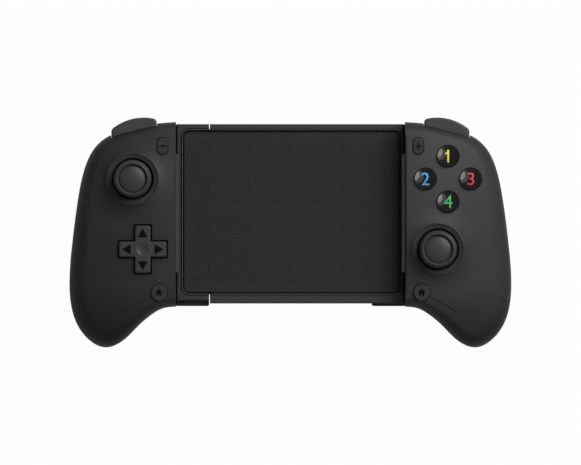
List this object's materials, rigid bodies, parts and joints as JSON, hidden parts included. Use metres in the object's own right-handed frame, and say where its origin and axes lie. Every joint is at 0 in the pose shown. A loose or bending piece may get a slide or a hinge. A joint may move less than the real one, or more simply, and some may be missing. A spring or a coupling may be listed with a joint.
{
  "type": "mobile game controller",
  "caption": "Black telescopic game controller: two grips with sticks, pad, buttons and triggers slide apart on a sprung tray that clamps a phone lying on its mat.",
  "frame": {"origin": "under the middle of the controller, at the height of the grips' backs", "axes": "+Z out of the front face, +Y to the shoulder buttons, +X to the right grip"},
  "size_m": [0.2034, 0.1057, 0.0385],
  "materials": {
    "steel": "plain bright steel",
    "soft_touch_shell": "matt black soft-touch coat",
    "tray_plastic": "fine-textured black plastic",
    "grip_rubber": "matt black rubber",
    "mat_sheet": "plain sheet",
    "stick_rubber": "satin black rubber",
    "ring_plastic": "satin black plastic",
    "face_button_gloss": "gloss black",
    "pad_plastic": "satin black plastic",
    "small_button_plastic": "satin black plastic",
    "shoulder_plastic": "satin black plastic",
    "board": "green solder mask",
    "membrane_rubber": "pale grey silicone",
    "battery_wrap": "silver pouch",
    "light_guide": "milky clear plastic",
    "moving_plastic": "plain acetal"
  },
  "bodies": {
    "bridge": {"bridge_plate": "tray_plastic", "bridge_back_cover": "tray_plastic", "bridge_screws": "steel", "mat_plate": "mat_sheet", "phone_mat": "grip_rubber", "clock_spring": "steel"},
    "sync_pinion": {"pinion": "moving_plastic"},
    "left_grip": {"left_slider": "tray_plastic", "left_front_shell": "soft_touch_shell", "left_rear_shell": "soft_touch_shell", "left_shell_screws": "steel", "left_clamp_pad": "grip_rubber", "left_circuit_board": "board", "left_button_membrane": "membrane_rubber", "left_stick_ring": "ring_plastic", "left_stick_cradle": "moving_plastic", "left_status_light": "light_guide", "left_trigger_axle": "steel", "pad_cradle": "moving_plastic", "battery": "battery_wrap"},
    "left_stick_gimbal_body": {"left_stick_gimbal": "moving_plastic"},
    "left_stick_rocker_body": {"left_stick_rocker": "moving_plastic"},
    "left_stick_cap_body": {"left_stick_cap": "stick_rubber"},
    "left_bumper_body": {"left_bumper": "shoulder_plastic"},
    "left_trigger_body": {"left_trigger": "shoulder_plastic"},
    "minus_button_body": {"minus_button": "small_button_plastic"},
    "star_button_body": {"star_button": "small_button_plastic"},
    "pad_gimbal_body": {"pad_gimbal": "moving_plastic"},
    "direction_pad_body": {"direction_pad": "pad_plastic"},
    "right_grip": {"right_slider": "tray_plastic", "right_front_shell": "soft_touch_shell", "right_rear_shell": "soft_touch_shell", "right_shell_screws": "steel", "right_clamp_pad": "grip_rubber", "right_circuit_board": "board", "right_button_membrane": "membrane_rubber", "right_stick_ring": "ring_plastic", "right_stick_cradle": "moving_plastic", "right_status_light": "light_guide", "right_trigger_axle": "steel", "charging_socket": "steel"},
    "right_stick_gimbal_body": {"right_stick_gimbal": "moving_plastic"},
    "right_stick_rocker_body": {"right_stick_rocker": "moving_plastic"},
    "right_stick_cap_body": {"right_stick_cap": "stick_rubber"},
    "right_bumper_body": {"right_bumper": "shoulder_plastic"},
    "right_trigger_body": {"right_trigger": "shoulder_plastic"},
    "plus_button_body": {"plus_button": "small_button_plastic"},
    "home_button_body": {"home_button": "small_button_plastic"},
    "face_button_top_body": {"face_button_top": "face_button_gloss"},
    "face_button_left_body": {"face_button_left": "face_button_gloss"},
    "face_button_right_body": {"face_button_right": "face_button_gloss"},
    "face_button_bottom_body": {"face_button_bottom": "face_button_gloss"}
  },
  "joints": [
    {"name": "left_slide", "type": "slide", "parent": "bridge", "child": "left_grip", "axis": [-1, 0, 0], "range_m": [0, 0.032], "stiffness_N_per_m": 60, "springref_m": -0.06},
    {"name": "pinion_spin", "type": "hinge", "parent": "bridge", "child": "sync_pinion", "pos_m": [0, 0.0085, 0.0125], "axis": [0, 0, 1], "range_deg": [0, 226.4]},
    {"name": "left_stick_tilt_up_down", "type": "hinge", "parent": "left_grip", "child": "left_stick_gimbal_body", "pos_m": [-0.0724, 0.0245, 0.022], "axis": [1, 0, 0], "range_deg": [-14, 14], "stiffness_Nm_per_rad": 0.04},
    {"name": "left_stick_tilt_left_right", "type": "hinge", "parent": "left_stick_gimbal_body", "child": "left_stick_rocker_body", "pos_m": [-0.0724, 0.0245, 0.022], "axis": [0, 1, 0], "range_deg": [-14, 14], "stiffness_Nm_per_rad": 0.04},
    {"name": "left_stick_click", "type": "slide", "parent": "left_stick_rocker_body", "child": "left_stick_cap_body", "axis": [0, 0, -1], "range_m": [0, 0.0005], "stiffness_N_per_m": 6000},
    {"name": "left_bumper_press", "type": "hinge", "parent": "left_grip", "child": "left_bumper_body", "pos_m": [-0.064, 0.0444, 0.0233], "axis": [0, 0, 1], "range_deg": [0, 3], "stiffness_Nm_per_rad": 0.7},
    {"name": "left_trigger_pull", "type": "hinge", "parent": "left_grip", "child": "left_trigger_body", "pos_m": [-0.072, 0.0386, 0.0139], "axis": [-1, 0, 0], "range_deg": [0, 14], "stiffness_Nm_per_rad": 0.15, "springref_deg": -5.73},
    {"name": "minus_button_press", "type": "slide", "parent": "left_grip", "child": "minus_button_body", "axis": [0, 0, -1], "range_m": [0, 0.0005], "stiffness_N_per_m": 2000},
    {"name": "star_button_press", "type": "slide", "parent": "left_grip", "child": "star_button_body", "axis": [0, 0, -1], "range_m": [0, 0.0005], "stiffness_N_per_m": 2000},
    {"name": "pad_tilt_up_down", "type": "hinge", "parent": "left_grip", "child": "pad_gimbal_body", "pos_m": [-0.0678, -0.0078, 0.022], "axis": [1, 0, 0], "range_deg": [-4, 4], "stiffness_Nm_per_rad": 0.1},
    {"name": "pad_tilt_left_right", "type": "hinge", "parent": "pad_gimbal_body", "child": "direction_pad_body", "pos_m": [-0.0678, -0.0078, 0.022], "axis": [0, 1, 0], "range_deg": [-4, 4], "stiffness_Nm_per_rad": 0.1},
    {"name": "right_slide", "type": "slide", "parent": "bridge", "child": "right_grip", "axis": [1, 0, 0], "range_m": [0, 0.032], "stiffness_N_per_m": 60, "springref_m": -0.06},
    {"name": "right_stick_tilt_up_down", "type": "hinge", "parent": "right_grip", "child": "right_stick_gimbal_body", "pos_m": [0.0678, -0.0078, 0.022], "axis": [1, 0, 0], "range_deg": [-14, 14], "stiffness_Nm_per_rad": 0.04},
    {"name": "right_stick_tilt_left_right", "type": "hinge", "parent": "right_stick_gimbal_body", "child": "right_stick_rocker_body", "pos_m": [0.0678, -0.0078, 0.022], "axis": [0, 1, 0], "range_deg": [-14, 14], "stiffness_Nm_per_rad": 0.04},
    {"name": "right_stick_click", "type": "slide", "parent": "right_stick_rocker_body", "child": "right_stick_cap_body", "axis": [0, 0, -1], "range_m": [0, 0.0005], "stiffness_N_per_m": 6000},
    {"name": "right_bumper_press", "type": "hinge", "parent": "right_grip", "child": "right_bumper_body", "pos_m": [0.064, 0.0444, 0.0233], "axis": [0, 0, -1], "range_deg": [0, 3], "stiffness_Nm_per_rad": 0.7},
    {"name": "right_trigger_pull", "type": "hinge", "parent": "right_grip", "child": "right_trigger_body", "pos_m": [0.072, 0.0386, 0.0139], "axis": [-1, 0, 0], "range_deg": [0, 14], "stiffness_Nm_per_rad": 0.15, "springref_deg": -5.73},
    {"name": "plus_button_press", "type": "slide", "parent": "right_grip", "child": "plus_button_body", "axis": [0, 0, -1], "range_m": [0, 0.0005], "stiffness_N_per_m": 2000},
    {"name": "home_button_press", "type": "slide", "parent": "right_grip", "child": "home_button_body", "axis": [0, 0, -1], "range_m": [0, 0.0005], "stiffness_N_per_m": 2000},
    {"name": "face_button_top_press", "type": "slide", "parent": "right_grip", "child": "face_button_top_body", "axis": [0, 0, -1], "range_m": [0, 0.0012], "stiffness_N_per_m": 600},
    {"name": "face_button_left_press", "type": "slide", "parent": "right_grip", "child": "face_button_left_body", "axis": [0, 0, -1], "range_m": [0, 0.0012], "stiffness_N_per_m": 600},
    {"name": "face_button_right_press", "type": "slide", "parent": "right_grip", "child": "face_button_right_body", "axis": [0, 0, -1], "range_m": [0, 0.0012], "stiffness_N_per_m": 600},
    {"name": "face_button_bottom_press", "type": "slide", "parent": "right_grip", "child": "face_button_bottom_body", "axis": [0, 0, -1], "range_m": [0, 0.0012], "stiffness_N_per_m": 600}
  ],
  "couplings": [
    {"joint": "right_slide", "follows": "left_slide", "ratio": 1},
    {"joint": "pinion_spin", "follows": "left_slide", "rad_per_m": 123.46}
  ]
}
